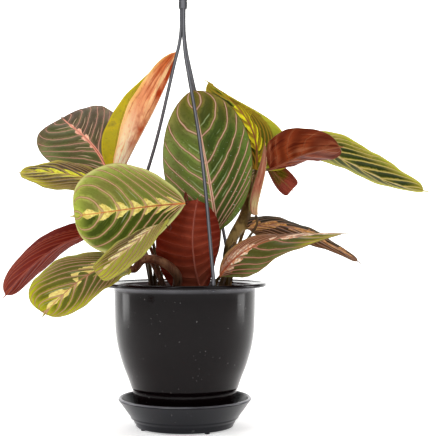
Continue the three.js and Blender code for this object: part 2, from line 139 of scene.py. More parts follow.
class Reading:
    """A value that a finish's nodes give; the usual signs do sums with it."""
    __add__ = sum_by("ADD")
    __sub__ = sum_by("SUBTRACT")
    __mul__ = sum_by("MULTIPLY")
    __truediv__ = sum_by("DIVIDE")
    most = sum_by("MAXIMUM")

    def __init__(self, finish, socket):
        self.finish = finish
        self.socket = socket

    def __rsub__(self, other):
        return self.finish.math("SUBTRACT", other, self)

    def __abs__(self):
        return self.finish.math("ABSOLUTE", self)

    def turn(self):
        """The part after the point."""
        return self.finish.math("FRACT", self)

    def fade(self, start, end):
        """0 at start and 1 at end, eased; start may lie above end."""
        ends = {1: min(start, end), 2: max(start, end), 3: float(start >= end), 4: float(start < end)}
        return self.finish.node("MapRange", 0, {0: self, **ends}, interpolation_type="SMOOTHSTEP")


class Finish:
    """One procedural material: a Principled shader and a body colour built up coat by coat."""

    def __init__(self, name, roughness=0.5, specular=0.5):
        self.material = bpy.data.materials.new(name)
        self.material.use_nodes = True
        self.tree = self.material.node_tree
        self.shader = self.tree.nodes["Principled BSDF"].inputs
        self.shader["Roughness"].default_value = roughness
        self.shader["Specular IOR Level"].default_value = specular

    def put(self, socket, value):
        if isinstance(value, Reading):
            self.tree.links.new(value.socket, socket)
        else:
            socket.default_value = value

    def node(self, kind, output, inputs, **settings):
        """A new node with its settings and inputs, as the reading of one of its outputs."""
        node = self.tree.nodes.new("ShaderNode" + kind)
        for key, value in settings.items():
            setattr(node, key, value)
        for key, value in inputs.items():
            self.put(node.inputs[key], value)
        return Reading(self, node.outputs[output])

    def math(self, operation, *parts):
        return self.node("Math", 0, dict(enumerate(parts)), operation=operation)

    def mix(self, share, under, over):
        """One colour passing into another; a colour is a screen colour or a reading."""
        under, over = (linear(tone) if isinstance(tone, int) else tone for tone in (under, over))
        return self.node("Mix", 2, {0: share, 6: under, 7: over}, data_type="RGBA")

    def coat(self, share, over):
        """Lays a colour over the body by its share."""
        self.body = self.mix(share, self.body, over)

    def attribute(self, name):
        return self.node("Attribute", "Fac", {}, attribute_name=name)

    def place(self, stretch=(1, 1, 1)):
        return self.node("Mapping", 0, {0: self.node("TexCoord", "Object", {}), "Scale": stretch})

    def height(self):
        """Height in the common frame, in metres."""
        return self.node("SeparateXYZ", 2, {0: self.place()})

    def speckle(self, scale, detail=3, vector=None):
        inputs = {"Scale": scale, "Detail": detail, "Vector": vector or self.place()}
        return self.node("TexNoise", 0, inputs)

    def lengthwise(self, along, across, seed=0):
        """Noise in streaks along a blade; the numbers say how often it changes each way."""
        ways = {0: self.attribute("along") * along, 1: self.attribute("across") * across, 2: seed}
        return self.speckle(1, 3, self.node("CombineXYZ", 0, ways))

    def close(self, relief=None, depth=0, glow=None):
        """Joins the body colour, a relief and a painted glow of the body colour, for the light that comes
        through, to the shader.
        """
        self.put(self.shader["Base Color"], self.body)
        if relief:
            self.put(self.shader["Normal"], self.node("Bump", 0, {"Distance": depth, "Height": relief}))
        # Painted light: the body colour itself glows a little.
        if glow is not None:
            self.put(self.shader["Emission Color"], self.body)
            self.shader["Emission Strength"].default_value = glow
        return self.material


def moulded_plastic(name, dark, light, roughness, specular, dust, painted_highlight_heights, painted_highlight_share):
    """Moulded plastic: slight flow marks, a fine uneven polish, a little dust and a pale band of painted
    highlight.
    """
    finish = Finish(name, roughness, specular)
    flow = finish.speckle(9, 4, finish.place((1, 1, 0.25)))
    finish.body = finish.mix(flow.fade(0.35, 0.7), dark, light)
    finish.coat(finish.speckle(420, 1).fade(0.745, 0.79) * dust, 0x9A9A98)
    # The pale band between these heights is a painted highlight on the rounded edge it lies on.
    start, full, fading, gone = painted_highlight_heights
    painted_highlight_band = finish.height().fade(start, full) * finish.height().fade(gone, fading)
    finish.coat(painted_highlight_band * flow.fade(0.2, 0.6) * painted_highlight_share, 0x9C9CA2)
    finish.put(finish.shader["Roughness"], flow.fade(0.3, 0.75) * 0.1 + (roughness - 0.04))
    return finish.close(finish.speckle(900, 2), 0.00004)


def plastic_painted_lit_front(name, edge, middle, roughness, specular):
    """Grey plastic with a painted highlight down the middle that faces front or back, and painted shade
    towards its sides.
    """
    finish = Finish(name, roughness, specular)
    flow = finish.speckle(140)
    front_facing = finish.attribute("front_facing") + flow * 0.1
    # Painted light: edge is the painted shade colour at the sides, middle the painted highlight colour.
    finish.body = finish.mix(front_facing.fade(0.3, 0.95), edge, middle)
    return finish.close(flow, 0.0001)


def peat(name):
    """Damp potting soil: near black, with brown fibres."""
    finish = Finish(name, 0.92, 0.2)
    lumps = finish.speckle(260, 5)
    finish.body = finish.mix(lumps.fade(0.35, 0.65), 0x1B1410, 0x46342A)
    finish.coat(finish.speckle(900).fade(0.55, 0.75), 0x6E5842)
    return finish.close(lumps, 0.0012)


def stalk_skin(name, foot, top, streaked):
    """Petiole skin: dark at the soil, paler towards the blade, with fine lengthwise streaks."""
    finish = Finish(name, 0.5, 0.15)
    streak = finish.speckle(500, 3, finish.place((1, 1, 0.06)))
    finish.body = finish.mix(finish.attribute("way").fade(0, 0.7), foot, top)
    finish.coat(finish.speckle(90).fade(0.45, 0.62), streaked)
    finish.coat(streak.fade(0.52, 0.8) * 0.7, top)
    finish.coat(streak.fade(0.48, 0.25), foot)
    return finish.close(streak, 0.0004)


def rib_skin(name, leaf):
    """The rib's skin, streaked in the underside's vein and foot colours."""
    finish = Finish(name, 0.5, 0.35)
    finish.body = finish.mix(finish.speckle(400, 2), leaf.under_vein, leaf.under[0])
    return finish.close()


def side_veins(finish):
    """Millimetres to the nearest side vein, the way from vein to vein, and 0 where there are none."""
    count = finish.attribute("vein") + (finish.speckle(45, 2) - 0.5) * VEIN_WANDER
    turn = count.turn()
    return abs(turn - 0.5) / finish.attribute("vein_rate"), turn, count.fade(-2.6, -2.2)


def blade_top(name, leaf):
    """Upper side of a blade, coloured from its midrib, side veins and margin."""
    finish = Finish(name, 0.44, LEAF_SHINE)
    along, across, inward, margin = map(finish.attribute, ("along", "across", "inward", "margin"))
    reach = abs(across)
    to_vein, turn, veined = side_veins(finish)
    cloud = finish.speckle(60, 4)
    fleck = finish.speckle(380)
    side = across.fade(-0.015, 0.015)
    lamina, clouded, dark = (finish.mix(side, *pair) for pair in (leaf.lamina, leaf.cloud, leaf.dark))
    finish.body = finish.mix(cloud.fade(0.42, 0.6) * leaf.clouded, lamina, clouded)
    finish.coat(fleck.fade(0.52, 0.66) * 0.45, clouded)
    finish.coat(along.fade(*leaf.tip_reach), leaf.tip)
    finish.coat(fleck.fade(0.46, 0.32) * 0.3, dark)
    # Dark lenses between the side veins, from near the midrib out towards the margin
    ends = reach.fade(0, 0.12) * reach.fade(*leaf.lens_end)
    left, right = leaf.lens
    strength = along.fade(1, 0.86) * (across.fade(-0.02, 0.02) * (right - left) + left) * veined
    wobble = abs(turn * 2 - 1) + (fleck - 0.5) * 0.8
    lens = wobble.fade(*leaf.lens_edge) * ends * strength
    finish.coat(lens.most(cloud.fade(0.48, 0.32) * 0.55), dark)
    finish.coat(margin.fade(leaf.rim, 0), leaf.margin)
    # Pale feather along the midrib, toothed between the side veins
    tooth = (finish.attribute("vein") + leaf.tooth).turn()
    blob = tooth.fade(0.05, 0.55) * tooth.fade(1, 0.86)
    window = along.fade(*leaf.feather_from) * along.fade(*leaf.feather_to)
    patchy = finish.speckle(55, 1).fade(*leaf.patchy)
    width = (blob * 0.85 + 0.15 + (fleck - 0.5) * 0.7) * window * patchy * leaf.feather_width
    yellow = finish.mix(fleck.fade(0.4, 0.62), leaf.feather, leaf.feather_deep)
    finish.coat((width - inward).fade(-0.25, 0.35), yellow)
    # Side veins, thinner towards the margin, with brown bands beside them: partly their own colour, partly
    # painted shade along the veins
    line = to_vein / (1 - reach * 0.4)
    half = leaf.vein_width
    inside = margin.fade(0.3, 3)
    vein = line.fade(half * 1.7, half * 0.4) * leaf.vein_strength * veined * inside
    finish.coat(line.fade(half * 3.4, half * 1.2) * leaf.vein_shaded * veined * inside, leaf.vein_shade)
    finish.coat(vein, leaf.vein)
    # Fine lines between them, in places
    fine = abs((finish.attribute("vein") * 6).turn() - 0.5).fade(0.25, 0)
    finish.coat(fine * finish.speckle(130, 2).fade(0.45, 0.65) * 0.28, clouded)
    minor = abs((turn + 0.62).turn() - 0.5) / finish.attribute("vein_rate")
    minor = minor.fade(0.75, 0.2) * reach.fade(0.5, 0.3) * veined * finish.speckle(30, 0).fade(0.5, 0.56)
    finish.coat(minor * leaf.minor, leaf.minor_tone)
    # The midrib, pale specks and the brown edge
    rib_half = leaf.rib_width - along * (leaf.rib_width * 0.75)
    rib = (inward - rib_half).fade(0.35, -0.15) * along.fade(0.99, 0.9)
    finish.coat(rib, leaf.rib)
    specks = finish.speckle(650, 0).fade(0.78, 0.82) * along.fade(0.8, 0.4)
    finish.coat(specks * leaf.specks, 0xC8D0B8)
    finish.coat(margin.fade(0.9, 0.2) * leaf.rim_line, leaf.vein_shade)
    finish.put(finish.shader["Roughness"], cloud * 0.16 + 0.34)
    return finish.close(fleck * 0.3 - (vein + rib), 0.0003, leaf.glow)


def blade_under(name, leaf):
    """Underside of a blade: wine red or the leaf's own colours, with raised paler veins."""
    finish = Finish(name, 0.5, LEAF_SHINE)
    along, across, inward = map(finish.attribute, ("along", "across", "inward"))
    reach = abs(across)
    to_vein, turn, veined = side_veins(finish)
    foot, middle, tip, edge = leaf.under
    streak = finish.speckle(46, 4)
    finish.body = finish.mix(along.fade(*leaf.under_foot), foot, middle)
    finish.coat(along.fade(0.6, 1), tip)
    finish.coat(reach.fade(*leaf.under_edge), edge)
    inner = (reach + (streak - 0.5) * 1.2).fade(0.5, 0.1)
    finish.coat(inner * leaf.inner * along.fade(0.05, 0.4), leaf.under_inner)
    finish.coat(streak.fade(0.45, 0.68) * leaf.under_clouded, leaf.under_cloud)
    finish.coat(finish.lengthwise(*leaf.strokes).fade(0.5, 0.66) * leaf.stroked, leaf.stroke)
    finish.coat(finish.lengthwise(*leaf.strokes, 7).fade(0.55, 0.72) * leaf.stroked, leaf.under_cloud)
    shade = abs(turn * 2 - 1).fade(0, 0.9) * leaf.under_lens
    finish.coat(shade.most(finish.speckle(260).fade(0.5, 0.25) * 0.4), leaf.under_dark)
    vein = to_vein.fade(0.95, 0.25) * veined
    finish.coat(vein * leaf.under_veined, leaf.under_vein)
    rib = inward.fade(1.3, 0.4)
    finish.coat(rib * 0.6, leaf.under_vein)
    return finish.close(vein + rib + streak * 0.5, 0.0005, leaf.under_glow)


# What every leaf has unless it says otherwise. Pairs are left and right of the midrib, widths are
# millimetres and colours are screen colours. First its shape, as the solids have it: fold and curl in
# degrees; fullness of foot and tip; height, count and start of the margin's waves; and the petiole's places,
# straight lead and radii. Then its looks: a sweep is how far the side veins run towards the tip on their way
# out, straight and then ever more.
PLAIN = dict(
    fold=(6, 6), curl=(-8, -8), outline=(0.5, 0.45), outline_right=None, wave=(1, 3, 0), petiole=(), lead=8,
    stalk=None, lamina=(0x625E2C, 0x5E5A2A), cloud=(0x667030, 0x5E6A2C), clouded=0.7, tip=0x7E7C34,
    tip_reach=(0.7, 1.1), dark=(0x3E4212, 0x383E10), lens=(0.7, 0.7), lens_end=(0.95, 0.6),
    lens_edge=(0.15, 0.6), margin=0x84804A, rim=2.2, feather=0xDDCF78, feather_deep=0xBEB458,
    feather_width=5.5, feather_from=(0, 0.12), feather_to=(0.98, 0.8), patchy=(0.2, 0.3), tooth=0.35,
    vein=0xC0906E, vein_width=0.55, vein_strength=0.9, vein_shade=0x6A4226, vein_shaded=0.6, rib=0xD98A60,
    rib_width=0.9, specks=0, veins=8, sweep=(0.3, 0.2), under=(0x8A3A22, 0x7E2E1A, 0x74281A, 0x74281A),
    under_foot=(0, 0.35), under_edge=(0.45, 1), under_inner=0x7E2E20, inner=0, under_cloud=0x9A4A30,
    under_clouded=0.5, under_lens=0.4, under_dark=0x561408, under_vein=0xA85A40, under_veined=0.5,
    strokes=(3, 5), stroke=0x5E1A0A, stroked=0.3, glow=0.03, under_glow=0.03, spread=0.1, minor=0,
    minor_tone=0xC8CCA0, rim_line=0.45)

LEAVES = {}


def grow(name, **own):
    """A leaf: its shoot, its midrib as a cubic curve, how it faces at foot and tip, and what is its own."""
    LEAVES[name] = SimpleNamespace(**{**PLAIN, **own})


grow(
    "leaf_left_high", shoot="left_back",
    midrib=[(-71, 9, 233), (-89, 31, 269), (-112, 65, 278), (-128, 93, 294)],
    face=[(-0.53, -0.67, 0.53), (-0.34, -0.65, 0.68)], half=(42, 38), fold=(7, 1), curl=(-6, -11),
    outline=(0.45, 0.3), wave=(1, 2.5, 0), petiole=[(-40, 22, 160), (-60, 19, 204)],
    lamina=(0x80704E, 0x785E4C), cloud=(0x727846, 0x766A48), tip=0x685040, dark=(0x343A16, 0x2E2C12),
    margin=0x6A6240, rim=1.2, feather=0xFAC8A8, feather_deep=0xE89480, feather_width=3.2,
    feather_from=(0.1, 0.3), feather_to=(0.9, 0.6), vein=0xC4907A, vein_width=0.5, vein_shade=0x64402E,
    rib=0xE0927A, rib_width=1.6, veins=6.5, sweep=((0.4, 0.15), (0.35, 0.2)), clouded=0.85, tooth=0.7,
    minor=0.5, minor_tone=0xE8C4A0, patchy=(0.3, 0.5), glow=0.08)
grow(
    "leaf_young_rolled", shoot="left_back",
    midrib=[(-62, 4, 228), (-44, -4, 266), (-23, 6, 296), (-5, 9, 350)],
    face=[(-0.82, -0.49, 0.3), (-0.91, -0.1, 0.4)], half=(36, 33), fold=(49, 53), curl=(3, 0),
    outline=(0.5, 0.62), wave=(0.8, 2, 0), petiole=[(-36, 16, 155), (-55, 14, 195)],
    lamina=(0xCCB41E, 0xCCB41E), cloud=(0xAAA024, 0xAAA024), clouded=0.55, tip=0xE09A40,
    dark=(0x7C7030, 0x7C7030), lens=(0.3, 0.3), margin=0xD8C424, feather_width=0.1, vein=0xD89C3C,
    vein_width=0.4, rib=0xE08A50, under=(0xFFF4CC, 0xE89868, 0xC65A1E, 0xF0B868), under_foot=(0.1, 0.6),
    under_edge=(0.75, 1), under_inner=0xA83410, inner=1, under_cloud=0xFFD094, under_clouded=0.45,
    under_lens=0.1, under_dark=0xAA5228, under_vein=0xC87044, under_veined=0.3, strokes=(1.8, 5),
    stroke=0xA2380E, stroked=0.85, sweep=((0.9, 0.1), (0.95, 0.1)), veins=5, under_glow=0.34, glow=0.1)
grow(
    "leaf_left_level", shoot="left_front",
    midrib=[(-66, -7, 220), (-95, -26, 229), (-123, -17, 234), (-151, -18, 231)],
    face=[(-0.12, -0.5, 0.86), (-0.2, -0.37, 0.9)], half=(34, 32), fold=(8, 4), curl=(-15, -14),
    wave=(1, 2.5, 0.3), petiole=[(-30, -10, 160), (-50, -4, 206)], lamina=(0x907C2E, 0x80642A),
    cloud=(0x9C8E38, 0x94803A), tip=0xD6CC1E, tip_reach=(0.5, 0.8), dark=(0x56420E, 0x422C08),
    margin=0xA8A238, feather=0xE8E440, feather_deep=0xC8C020, feather_width=9, feather_to=(0.9, 0.75),
    vein=0xB4905C, vein_shade=0x5A3410, rib=0xC4905A, sweep=(0.5, 0.2), glow=0.05, veins=5.5,
    lens=(1, 1))
grow(
    "leaf_left_broad", shoot="centre",
    midrib=[(1, -31, 203), (-39, -53, 200), (-50, -68, 196), (-99, -52, 191)],
    face=[(0, -0.97, 0.2), (-0.28, -0.96, 0.05)], half=(38, 41), fold=(2, 14), curl=(-12, -11),
    outline=(0.8, 0.43), outline_right=(0.6, 0.33), wave=(0.8, 3, 0.1), lead=2.5,
    petiole=[(9, -8, 150), (1, -13.5, 185), (0, -15, 202), (1, -20, 213)],
    stalk=[2.2, 2.1, 1.9, 1.7, 1.5, 1.3, 1, 0.75, 0.65], lamina=(0x66702E, 0xA09A52),
    cloud=(0x6E7A2C, 0x94A046), clouded=0.75, tip=0xB4C04E, tip_reach=(0.8, 1), dark=(0x344008, 0x4E5416),
    lens=(0.9, 0.62), lens_end=(0.9, 0.6), margin=0xCECC80, rim=5, feather=0xF0E084, feather_deep=0xD4BC5C,
    feather_width=7, feather_to=(0.95, 0.84), vein=0xC89E7A, vein_shade=0x7A5030, rib=0xDC8446,
    rib_width=0.7, veins=7, sweep=((0.3, 0.25), (0.2, 0.35)), glow=0.13, minor=0.3)
grow(
    "leaf_front_drooping", shoot="centre",
    midrib=[(-16, -54, 185), (-27, -93, 184), (-38, -105, 166), (-72, -110, 141)],
    face=[(-0.45, -0.7, 0.55), (-0.4, -0.78, 0.48)], half=(20, 14), fold=(12, 5), curl=(-8, -14),
    outline=(0.5, 0.2), wave=(0.8, 2.5, 0.2), lead=2,
    petiole=[(2, -8, 150), (-13, -9, 185), (-19, -14, 202), (-16, -28, 193), (-11, -38, 181),
        (-12.5, -46, 179.5)], stalk=[2.2, 2.1, 1.9, 1.6, 1.2, 0.85, 0.6, 0.5, 0.5],
    lamina=(0xB4AE48, 0x8A7A4C), cloud=(0xA0A848, 0x929658), tip=0xC2BC3C, tip_reach=(0.55, 0.95),
    dark=(0x6C662A, 0x463818), lens=(0.5, 0.8), margin=0xB0B050, feather=0xF8E4B4, feather_deep=0xD8C46C,
    patchy=(0.45, 0.52), vein=0xB48A70, vein_width=0.5, rib=0xE4B892, veins=7, sweep=(0.5, 0.2))
grow(
    "leaf_left_low", shoot="left_front",
    midrib=[(-49, -40, 146), (-71, -69, 154), (-92, -94, 135), (-114, -107, 108)],
    face=[(-0.15, -0.78, 0.6), (-0.3, -0.8, 0.52)], half=(30, 36), fold=(10, 2), curl=(0, -8),
    outline=(0.55, 0.3), wave=(1, 3, 0.4), petiole=[(-6, -30, 138), (-20, -34, 151), (-36, -35, 153)],
    stalk=[4.4, 4.4, 4.2, 4.1, 4, 3.6, 3], lamina=(0x86743C, 0x90804A), cloud=(0x6E782E, 0x7A843C),
    clouded=0.8, tip=0xC4C020, tip_reach=(0.55, 0.9), dark=(0x4C500F, 0x565614), lens=(0.9, 0.9),
    margin=0xB0AE3A, rim=3.5, feather=0xF6E488, feather_deep=0xE6C870, feather_width=11, patchy=(0.44, 0.47),
    vein=0xC69878, vein_shade=0x74492C, rib=0xC88660, veins=7, sweep=(0.5, 0.2), glow=0.06, minor=0.4)
grow(
    "leaf_left_underside", shoot="left_front",
    midrib=[(-78, -8, 177), (-111, -18, 173), (-138, -25, 151), (-163, -22, 118)],
    face=[(0.22, 0.82, 0.53), (-0.2, 0.88, 0.42)], half=(28, 29), fold=(70, 42), curl=(16, 18),
    outline=(0.55, 0.4), wave=(1, 2.5, 0), petiole=[(-27, -16, 144), (-42, -12, 165)],
    under=(0x862412, 0x7C1E0C, 0x74180A, 0x6E1608), under_cloud=0x903420, under_vein=0xA44C30,
    under_dark=0x560E04, stroke=0x5C1608, stroked=0.6, strokes=(3, 6), sweep=(0.9, 0.1), veins=5)
grow(
    "leaf_centre_tall", shoot="centre", midrib=[(29, -1, 179), (28, -20, 202), (14, -24, 268), (6, -4, 311)],
    face=[(-0.05, -0.97, 0.25), (0, -0.98, 0.2)], half=(39.5, 43), fold=(2, 6), curl=(-8, -12),
    outline=(0.68, 0.7), outline_right=(0.85, 0.6), wave=(0.8, 3, 0), petiole=[(26, 10, 147)],
    lamina=(0x848A4E, 0x6C7438), cloud=(0x86984A, 0x5E7830), clouded=0.85, tip=0x8A7830,
    tip_reach=(0.6, 1), dark=(0x3A480C, 0x26360A), lens=(0.6, 0.75), margin=0x525024, rim=1,
    feather=0xA0A860, feather_deep=0x7A8640, feather_width=2, patchy=(0.5, 0.6), vein=0xD8AC90,
    vein_width=0.6, vein_shade=0x70442C, vein_shaded=0.75, rib=0xE6BA9E, rib_width=1.7, specks=0.5,
    sweep=((0.25, 0.15), (0.35, 0.15)), spread=0.45, veins=7.2, minor=0.55, minor_tone=0xAEBE86)
grow(
    "leaf_centre_underside", shoot="centre",
    midrib=[(16, -20, 121), (3, -29, 160), (8, -29, 186), (12, -20, 208)],
    face=[(-0.1, 0.98, 0.19), (0.1, 0.97, 0.24)], half=(25, 34), fold=(10, 8), curl=(6, 6),
    outline=(0.62, 0.5), outline_right=(0.42, 0.5), wave=(0.8, 3, 0.2), lead=2.5,
    under=(0x94503A, 0x82301A, 0x7E2A16, 0x70200E), under_cloud=0x9E4830, under_vein=0xA05040,
    under_lens=0.45, under_dark=0x4A0800, veins=10, sweep=(0.02, 0.1), under_veined=0.22, stroked=0)
grow(
    "leaf_right_tall", shoot="right", midrib=[(66, 16, 236), (70, 18, 268), (62, 27, 292), (18, 40, 324)],
    face=[(-0.53, -0.84, 0.1), (-0.25, -0.74, 0.63)], half=(32, 33), fold=(11, -26), curl=(0, 0),
    outline=(0.45, 0.5), outline_right=(0.3, 1.7), wave=(0.8, 3, 0),
    petiole=[(40, 8, 150), (46, 9, 175), (58, 12, 200)], lamina=(0x746016, 0x948A1E),
    cloud=(0x5E6A10, 0x98A026), tip=0xD6D63E, dark=(0x263404, 0x34440A), lens=(1, 0.85),
    lens_end=(0.75, 0.5), margin=0xCCBE3A, rim=3, feather=0xFFF62C, feather_deep=0xE8DA2C,
    feather_width=13, patchy=(0.42, 0.5), feather_to=(0.86, 0.74), vein=0xA07A22, vein_width=0.7,
    vein_shade=0x6E5010, rib=0xB08A28, sweep=((0.7, 0.15), (0.75, 0.15)), glow=0.12, veins=7,
    tip_reach=(0.3, 0.65))
grow(
    "leaf_right_folded", shoot="right_front",
    midrib=[(65, -10, 193), (63, -10, 208), (79, -10, 232), (73, -4, 261)],
    face=[(-0.92, -0.38, 0.11), (-0.93, -0.3, 0.22)], half=(8, 12), fold=(61, 57), curl=(5, 2),
    outline=(0.4, 0.7), wave=(0, 1, 0), petiole=[(42, -20, 150), (58, -15, 172)],
    under=(0xD8CC90, 0xB0684C, 0xA05840, 0x8C4630), under_foot=(0.15, 0.45), under_cloud=0xD0987A,
    under_lens=0.2, under_dark=0x502008, under_vein=0xC07C60, strokes=(2, 3), stroke=0x5A240C,
    stroked=0.8, sweep=(0.9, 0), veins=4)
grow(
    "leaf_right_underside", shoot="right",
    midrib=[(79, 3, 236), (100, -9, 243), (99, -22, 249), (140, -54, 252)],
    face=[(-0.07, 0.77, 0.64), (0.15, 0.9, 0.4)], half=(22.5, 28), fold=(30, 5), curl=(13, 8),
    outline=(0.5, 0.4), outline_right=(0.5, 0.5), wave=(1, 3, 0.1),
    petiole=[(44, 4, 160), (57, 4, 195), (66, 6, 222)], under=(0x82301A, 0x984422, 0x702A14, 0x782C10),
    under_cloud=0xAC6646, under_clouded=0.35, under_lens=0.6, under_dark=0x4A1000, under_vein=0xA0603E,
    under_veined=0.3, strokes=(2.4, 7.5), stroke=0x4E1200, stroked=0.9, sweep=((0.2, 0.15), (0.25, 0.15)),
    veins=4)
grow(
    "leaf_right_long", shoot="right", midrib=[(90, 42, 258), (138, 34, 271), (167, 14, 220), (226, 4, 215)],
    face=[(0, -0.68, 0.73), (0.34, -0.61, 0.71)], half=(35.5, 37), fold=(3, 24), curl=(-7, 1),
    wave=(1, 3, 0.2), petiole=[(46, 18, 170), (58, 32, 208), (70, 40, 240)], lamina=(0xA4943A, 0x968C3A),
    cloud=(0x6E7C20, 0x6E7E26), clouded=0.8, tip=0xACA022, tip_reach=(0.7, 1), dark=(0x283200, 0x283200),
    lens=(1, 1), lens_end=(0.8, 0.45), lens_edge=(0.15, 0.45), margin=0xC2BE34, rim=8,
    feather=0xDCC88C, feather_deep=0xC4B078, feather_width=2, vein=0xD0B468, vein_width=0.7,
    vein_shade=0x7A7420, rib=0xD4BC80, rib_width=1.4, sweep=((0.45, 0.1), (0.3, 0.1)),
    under=(0x8C4E38, 0x9C5E40, 0xB0844E, 0x7C3C28), under_vein=0xB87E58, glow=0.05, veins=7.5,
    vein_shaded=0.5)
grow(
    "leaf_right_small", shoot="right", midrib=[(74, 30, 248), (79, 26, 239), (87, 20, 230), (101, 14, 216)],
    face=[(0.34, 0.76, 0.56), (-0.19, 0.92, 0.33)], half=(11, 11), fold=(23, 20), curl=(7, 5),
    outline=(0.5, 0.14), wave=(0, 1, 0), petiole=[(50, 14, 165), (64, 30, 205)],
    under=(0x706C10, 0xA44C3A, 0xA04A38, 0x8E3A2C), under_foot=(0.7, 0.8), under_cloud=0xA65A50,
    under_lens=0, sweep=(0.8, 0.1), veins=4, under_veined=0.15, stroked=0.15)
grow(
    "leaf_right_low", shoot="right_front",
    midrib=[(32, -35, 138), (50, -50, 168), (82, -55, 177), (142, -70, 176)],
    face=[(0.15, -0.8, 0.55), (0.02, -0.3, 0.95)], half=(24, 35), fold=(-12, 5), curl=(-18, -9),
    outline=(0.8, 0.45), outline_right=(0.85, 0.6), wave=(0.8, 3, 0), lamina=(0xAA7450, 0x747040),
    cloud=(0xA87C54, 0x667838), tip=0xBCB032, tip_reach=(0.7, 0.84), dark=(0x5C3A1C, 0x454414),
    lens=(0.6, 0.8), margin=0x8A8048, rim=1.6, feather=0xFCE6C8, feather_deep=0xD88E62, feather_width=7,
    vein=0xC88A74, vein_width=0.65, vein_shade=0x6A3A24, rib=0xC8704A, rib_width=1.1, veins=6,
    sweep=((0.6, 0.1), (0.35, 0.2)), tooth=0.6, patchy=(0.4, 0.5))
grow(
    "leaf_right_level", shoot="right", midrib=[(58, 1, 181), (83, 10, 189), (112, -4, 184), (162, -10, 148)],
    face=[(0.3, -0.5, 0.8), (0.55, -0.39, 0.73)], half=(20.5, 23), fold=(0, 8), curl=(-16, -22),
    outline=(0.15, 0.4), outline_right=(0.35, 0.4), wave=(0.8, 3, 0.3),
    petiole=[(41, -1, 150), (46, -3, 168)], lamina=(0x42341A, 0x5E4024), cloud=(0x625634, 0x7E5436),
    tip=0x825434, tip_reach=(0.6, 0.95), dark=(0x282206, 0x2C1C06), margin=0x644C2A, feather=0xDCA45C,
    feather_deep=0xA87040, feather_width=10, vein=0xB07C5C, vein_width=0.6, vein_shade=0x4A2E14,
    rib=0xC49464, veins=5.5, sweep=((0.45, 0.15), (0.5, 0.1)), lens=(1, 0.8), patchy=(0.42, 0.5),
    tooth=0.55)
grow(
    "leaf_back_tall", shoot="back", midrib=[(10, 34, 190), (8, 66, 240), (9, 97, 262), (13, 137, 258)],
    face=[(0, -0.8, 0.6), (0, 0.1, 1)], half=(26, 27), petiole=[(6, 30, 150)], veins=9)
grow(
    "leaf_back_left", shoot="left_back",
    midrib=[(-22, 30, 170), (-45, 55, 205), (-60, 95, 210), (-72, 128, 195)],
    face=[(0.3, -0.6, 0.7), (-0.2, 0.2, 1)], half=(34, 34), fold=(5, 5), curl=(-10, -10), outline=(0.5, 0.4),
    wave=(1, 3, 0.4), lamina=(0x726C36, 0x66622E), feather_width=7, margin=0x9A9650)
grow(
    "leaf_back_low", shoot="back", midrib=[(5, 42, 150), (2, 75, 185), (0, 110, 185), (0, 140, 165)],
    face=[(0, -0.7, 0.7), (0, 0.3, 1)], half=(32, 32), fold=(5, 5), curl=(-10, -10), outline=(0.5, 0.4),
    wave=(1, 3, 0.2), lamina=(0x5E5A26, 0x706436), feather_width=4, rib=0xDC8A64)
grow(
    "leaf_back_right", shoot="back", midrib=[(36, 42, 206), (52, 74, 242), (62, 100, 256), (70, 126, 250)],
    face=[(-0.3, -0.6, 0.7), (0.2, 0.1, 1)], half=(24, 26), wave=(1, 3, 0.6), petiole=[(30, 24, 160)],
    lamina=(0x6C6430, 0x605E2A), tip=0x949034)
grow(
    "leaf_back_high", shoot="left_back",
    midrib=[(-50, 30, 212), (-72, 54, 242), (-90, 88, 252), (-108, 120, 246)],
    face=[(0.3, -0.6, 0.7), (-0.2, 0.1, 1)], half=(26, 20), wave=(1, 3, 0.8), petiole=[(-30, 20, 165)],
    lamina=(0x6A6234, 0x6E6836), feather_width=6, tip=0x86803A)

# Where the shoots stand in the soil
SHOOTS = {
    "left_front": (-12, -24), "left_back": (-28, 16), "centre": (13, -4), "right": (36, 6),
    "right_front": (28, -30), "back": (6, 34)}


# What every piece is made with
def soften(piece, width, segments=2):
    """Rounds the piece's hard edges."""
    bevel = piece.modifiers.new("soft_edges", "BEVEL")
    bevel.width = width * MM
    bevel.segments = segments
    bevel.limit_method = "ANGLE"
    bevel.angle_limit = math.radians(28)
    bpy.context.view_layer.objects.active = piece
    bpy.ops.object.modifier_apply(modifier=bevel.name)


def settle(piece, angle=35):
    """Puts the piece's place into its mesh and shades it smooth."""
    pick(piece)
    bpy.ops.object.transform_apply(location=True, rotation=True, scale=True)
    bpy.ops.object.shade_smooth_by_angle(angle=math.radians(angle))


def join(pieces, name):
    pick(*pieces)
    bpy.ops.object.join()
    pieces[0].name = name
    return pieces[0]


def dress(piece, slot, *nodes):
    """The piece stands for the named nodes, which it hides; the slot is not used."""
    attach(piece, "root")
    if nodes:
        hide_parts(*nodes)


def mark(mesh, name, values):
    """Gives every vertex of the mesh a value that its finish reads."""
    layer = mesh.attributes.new(name, "FLOAT", "POINT")
    layer.data.foreach_set("value", np.array(values, np.float32))


def vertex_places(mesh):
    co = np.empty(len(mesh.vertices) * 3)
    mesh.vertices.foreach_get("co", co)
    return co.reshape(-1, 3)


def mark_front_facing(piece):
    """Marks how squarely each vertex faces the front or the back, from 0 to 1, for the painted highlight of
    its finish.
    """
    mark(piece.data, "front_facing", [1 - abs(vertex.normal.x) for vertex in piece.data.vertices])


def run_of(points):
    """How far along the line each of its points lies, from 0 to 1."""
    steps = np.linalg.norm(np.diff(np.array(points, float), axis=0), axis=1)
    return np.concatenate([[0], np.cumsum(steps)]) / steps.sum()


def mark_way(piece, points):
    """Marks how far along the points each vertex of a rod lies, from 0 to 1."""
    line = np.array([at(*p) for p in points])
    run = run_of(points)
    nearest = [np.argmin(((line - c) ** 2).sum(1)) for c in vertex_places(piece.data)]
    mark(piece.data, "way", run[nearest])


def between(a, b, start, end, t):
    """The place at t on the line that is at a when t is at its start and at b at its end."""
    return ((end - t) * a + (t - start) * b) / (end - start)


